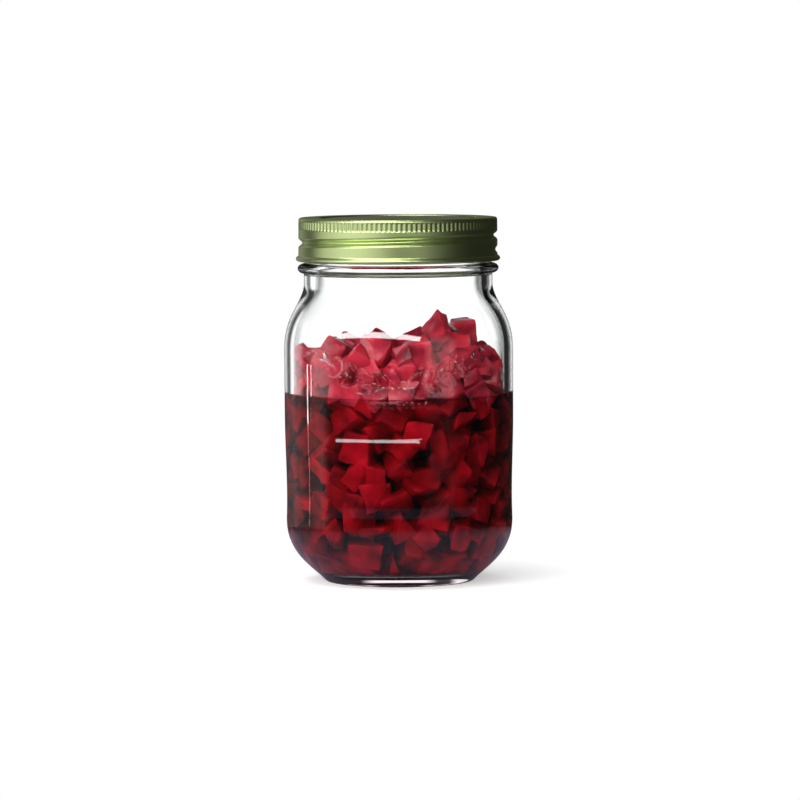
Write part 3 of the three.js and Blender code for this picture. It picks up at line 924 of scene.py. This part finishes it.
def beetroot_material(name, light_flesh, dark_flesh, pale_flesh, gloss):
    """Cut beetroot: light and dark clouds under faint pale rings, with a fine grain."""
    flesh, nodes, links, shader = material(name)
    place = node(nodes, "ShaderNodeTexCoord")
    cloud = node(nodes, "ShaderNodeTexNoise", Scale=130.0, Detail=4.0)
    grain = node(nodes, "ShaderNodeTexNoise", Scale=900.0, Detail=3.0)
    rings = node(nodes, "ShaderNodeTexWave", Scale=55.0, Distortion=5.0, wave_type="RINGS")
    for texture in (cloud, grain, rings):
        links.new(place.outputs["Object"], texture.inputs["Vector"])
    ramp = node(nodes, "ShaderNodeValToRGB")
    ramp.color_ramp.elements[0].position = 0.3
    ramp.color_ramp.elements[0].color = (*light_flesh, 1)
    ramp.color_ramp.elements[1].position = 0.7
    ramp.color_ramp.elements[1].color = (*dark_flesh, 1)
    links.new(cloud.outputs["Fac"], ramp.inputs["Fac"])
    pale = node(nodes, "ShaderNodeMix", data_type="RGBA")
    pale.inputs["B"].default_value = (*pale_flesh, 1)
    light = node(nodes, "ShaderNodeMath", operation="MULTIPLY")
    light.inputs[1].default_value = 0.35
    links.new(rings.outputs["Fac"], light.inputs[0])
    links.new(light.outputs["Value"], pale.inputs["Factor"])
    links.new(ramp.outputs["Color"], pale.inputs["A"])
    links.new(pale.outputs["Result"], shader.inputs["Base Color"])
    shader.inputs["Roughness"].default_value = 0.25
    shader.inputs["Specular IOR Level"].default_value = gloss
    shader.inputs["Subsurface Weight"].default_value = 0.2
    shader.inputs["Subsurface Radius"].default_value = (1.0, 0.15, 0.2)
    shader.inputs["Subsurface Scale"].default_value = 0.003
    bump = node(nodes, "ShaderNodeBump", Strength=0.35, Distance=0.0004)
    links.new(grain.outputs["Fac"], bump.inputs["Height"])
    links.new(bump.outputs["Normal"], shader.inputs["Normal"])
    return flesh


def metal_material(name, colour, roughness):
    """Lacquered metal, slightly clouded in colour and in gloss."""
    metal, nodes, links, shader = material(name)
    shader.inputs["Metallic"].default_value = 1
    place = node(nodes, "ShaderNodeTexCoord")
    cloud = node(nodes, "ShaderNodeTexNoise", Scale=90.0, Detail=5.0)
    links.new(place.outputs["Object"], cloud.inputs["Vector"])
    tint = mixed(nodes, colour, [0.86 * part for part in colour])
    links.new(cloud.outputs["Fac"], tint.inputs["Factor"])
    links.new(tint.outputs["Result"], shader.inputs["Base Color"])
    gloss = node(nodes, "ShaderNodeMapRange")
    gloss.inputs["To Min"].default_value = roughness - 0.05
    gloss.inputs["To Max"].default_value = roughness + 0.07
    links.new(cloud.outputs["Fac"], gloss.inputs["Value"])
    links.new(gloss.outputs["Result"], shader.inputs["Roughness"])
    return metal


def gasket_material():
    """The dull dark red compound under the lid."""
    rubber, nodes, links, shader = material("sealing_compound")
    shader.inputs["Base Color"].default_value = GASKET_COLOUR
    shader.inputs["Roughness"].default_value = 0.65
    return rubber


def floor_material():
    """A white floor that keeps the jar's shadow. What the glass mirrors of it is darker."""
    pale, nodes, links, shader = material("pale_floor")
    nodes.remove(shader)
    matt = node(nodes, "ShaderNodeBsdfDiffuse")
    tint = mixed(nodes, FLOOR_SEEN, FLOOR_SEEN)
    place = node(nodes, "ShaderNodeTexCoord")
    distance = node(nodes, "ShaderNodeVectorMath", operation="LENGTH")
    links.new(place.outputs["Object"], distance.inputs[0])
    far = node(nodes, "ShaderNodeMapRange")
    far.inputs["From Min"].default_value = 0.6 * FLOOR_RADIUS_SEEN
    far.inputs["From Max"].default_value = FLOOR_RADIUS_SEEN
    links.new(distance.outputs["Value"], far.inputs["Value"])
    mirrored = mixed(nodes, FLOOR_MIRRORED, FLOOR_EDGE_MIRRORED)
    links.new(far.outputs["Result"], mirrored.inputs["Factor"])
    links.new(mirrored.outputs["Result"], tint.inputs["B"])
    glow = node(nodes, "ShaderNodeEmission")
    path = node(nodes, "ShaderNodeLightPath")
    links.new(path.outputs["Is Glossy Ray"], tint.inputs["Factor"])
    links.new(tint.outputs["Result"], matt.inputs["Color"])
    both = node(nodes, "ShaderNodeAddShader")
    strength = None
    for ray, level in FLOOR_GLOW:
        part = node(nodes, "ShaderNodeMath", operation="MULTIPLY")
        part.inputs[1].default_value = level
        links.new(path.outputs[ray], part.inputs[0])
        if strength:
            total = node(nodes, "ShaderNodeMath", operation="ADD")
            links.new(strength.outputs["Value"], total.inputs[0])
            links.new(part.outputs["Value"], total.inputs[1])
            part = total
        strength = part
    links.new(strength.outputs["Value"], glow.inputs["Strength"])
    links.new(matt.outputs["BSDF"], both.inputs[0])
    links.new(glow.outputs["Emission"], both.inputs[1])
    links.new(both.outputs["Shader"], nodes["Material Output"].inputs["Surface"])
    return pale


# The camera, the light and the floor


def camera():
    """The camera, almost level, in front of the jar."""
    data = bpy.data.cameras.new("camera")
    data.lens = CAMERA_LENS
    data.sensor_width = 36
    data.clip_start = 0.05
    data.clip_end = 50
    eye = bpy.data.objects.new("camera", data)
    bpy.context.scene.collection.objects.link(eye)
    turn = Matrix.Rotation(math.radians(90 - CAMERA_PITCH), 4, "X")
    roll = Matrix.Rotation(math.radians(-CAMERA_ROLL), 4, "Z")
    eye.matrix_world = Matrix.Translation(CAMERA_PLACE) @ turn @ roll
    bpy.context.scene.camera = eye


def lamp(name, place, target, size, power):
    """A white rectangular lamp at place that faces target."""
    data = bpy.data.lights.new(name, "AREA")
    data.shape = "RECTANGLE"
    data.size, data.size_y = size
    data.energy = power
    light = bpy.data.objects.new(name, data)
    bpy.context.scene.collection.objects.link(light)
    light.location = place
    light.rotation_euler = (Vector(target) - Vector(place)).to_track_quat("-Z", "Y").to_euler()


def ramped(nodes, links, value, stops):
    """A grey level read off (position from 0 to 1, level) stops."""
    ramp = node(nodes, "ShaderNodeValToRGB")
    while len(ramp.color_ramp.elements) < len(stops):
        ramp.color_ramp.elements.new(0.5)
    for element, (position, level) in zip(ramp.color_ramp.elements, stops):
        element.position = position
        element.color = (level, level, level, 1)
    links.new(value, ramp.inputs["Fac"])
    return ramp.outputs["Color"]


def room_level(nodes, links, stops, heights):
    """How bright the room is each way. stops are (degrees from +X, level), heights (rise, share)."""
    place = node(nodes, "ShaderNodeTexCoord")
    around = node(nodes, "ShaderNodeTexGradient", gradient_type="RADIAL")
    links.new(place.outputs["Generated"], around.inputs["Vector"])
    stops = [(degrees / 360 + 0.5, level) for degrees, level in stops]
    level = ramped(nodes, links, around.outputs["Fac"], stops)
    parts = node(nodes, "ShaderNodeSeparateXYZ")
    links.new(place.outputs["Generated"], parts.inputs["Vector"])
    rise = node(nodes, "ShaderNodeMapRange")
    rise.inputs["From Min"].default_value = -1
    links.new(parts.outputs["Z"], rise.inputs["Value"])
    heights = [(rising / 2 + 0.5, share) for rising, share in heights]
    share = ramped(nodes, links, rise.outputs["Result"], heights)
    both = node(nodes, "ShaderNodeMix", data_type="RGBA", blend_type="MULTIPLY")
    both.inputs["Factor"].default_value = 1
    links.new(level, both.inputs["A"])
    links.new(share, both.inputs["B"])
    background = node(nodes, "ShaderNodeBackground")
    links.new(both.outputs["Result"], background.inputs["Color"])
    return background


def plain_level(nodes, level):
    """A room that is equally bright all round."""
    background = node(nodes, "ShaderNodeBackground")
    background.inputs["Color"].default_value = (level, level, level, 1)
    return background


def studio_world():
    """A white room for the eye and white panels with dark gaps behind the glass.

    Satin metal and polished surfaces mirror a darker room each. Matt ones get the same light from
    all round.
    """
    world = bpy.data.worlds.new("studio")
    bpy.context.scene.world = world
    world.use_nodes = True
    nodes, links = world.node_tree.nodes, world.node_tree.links
    path = node(nodes, "ShaderNodeLightPath")
    seen_through = node(nodes, "ShaderNodeMath", operation="LESS_THAN")
    seen_through.inputs[1].default_value = 0.5
    links.new(path.outputs["Diffuse Depth"], seen_through.inputs[0])
    behind = node(nodes, "ShaderNodeMath", operation="MULTIPLY")
    links.new(path.outputs["Is Transmission Ray"], behind.inputs[0])
    links.new(seen_through.outputs["Value"], behind.inputs[1])
    mirrored = node(nodes, "ShaderNodeMath", operation="MULTIPLY")
    links.new(path.outputs["Is Glossy Ray"], mirrored.inputs[0])
    links.new(path.outputs["Is Singular Ray"], mirrored.inputs[1])
    shown = plain_level(nodes, FILL_LEVEL)
    levels = [
        (path.outputs["Is Glossy Ray"], room_level(nodes, links, SATIN_STOPS, SATIN_HEIGHTS)),
        (mirrored.outputs["Value"], room_level(nodes, links, MIRROR_STOPS, MIRROR_HEIGHTS)),
        (behind.outputs["Value"], room_level(nodes, links, BEHIND_STOPS, BEHIND_HEIGHTS)),
        (path.outputs["Is Camera Ray"], plain_level(nodes, 1)),
    ]
    for ray, background in levels:
        mix = node(nodes, "ShaderNodeMixShader")
        links.new(ray, mix.inputs["Fac"])
        links.new(shown.outputs[0], mix.inputs[1])
        links.new(background.outputs["Background"], mix.inputs[2])
        shown = mix
    links.new(shown.outputs["Shader"], nodes["World Output"].inputs["Surface"])


def floor():
    """A round floor just under the jar."""
    rim = np.linspace(0, 2 * math.pi, 97)[:-1]
    radius = FLOOR_RADIUS_SEEN / MM
    points = [(radius * math.cos(angle), radius * math.sin(angle), 0) for angle in rim]
    ground = made("floor", points, [tuple(range(len(points)))])
    ground.location.z = -FLOOR_DROP
    ground.data.materials.append(floor_material())


# Putting it together

camera()
studio_world()
for values in LAMPS:
    lamp(*values)
floor()

glass = glass_jar()
glass.data.materials.append(glass_material("clear_glass", GLASS_INDEX))
glass.data.materials.append(glass_material("wet_glass", GLASS_INDEX / BRINE_INDEX))
wet_faces(glass)
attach(glass, "jar")
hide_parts("glass_jar")

liquid = brine()
liquid.data.materials.append(brine_side_material())
liquid.data.materials.append(brine_top_material())
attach(liquid, "jar")
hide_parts("brine")

flesh = beetroot_material("beetroot_flesh", *DRY_FLESH)
# The packed rings under the brine get the darker, redder copy of the flesh, which is painted shade.
wet_flesh_painted_shade = beetroot_material("beetroot_in_brine_painted_shade", *WET_FLESH_PAINTED_SHADE)
pieces = {f"beetroot_layer_{layer}": packed_ring(layer) for layer in range(1, RING_COUNT + 1)}
for name in sorted(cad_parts):
    if name.startswith("beetroot_") and name not in pieces:
        pieces[name] = heap_piece(name)
for name, piece in pieces.items():
    piece.data.materials.append(wet_flesh_painted_shade if "layer" in name else flesh)
    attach(piece, "jar")
    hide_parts(name)

rim = rim_pieces()
rim.data.materials.append(flesh)
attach(rim, "jar")

cap = band()
cap.data.materials.append(metal_material("band_lacquer", BAND_COLOUR, 0.3))
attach(cap, "band")
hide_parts("screw_band")

disc = lid()
disc.data.materials.append(metal_material("lid_lacquer", LID_COLOUR, 0.28))
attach(disc, "lid")
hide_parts("sealing_lid")

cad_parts["gasket_ring"].data.materials.clear()
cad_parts["gasket_ring"].data.materials.append(gasket_material())

bpy.context.scene.view_settings.view_transform = "Standard"
bpy.context.scene.cycles.use_denoising = True
bpy.context.scene.cycles.transparent_max_bounces = 16
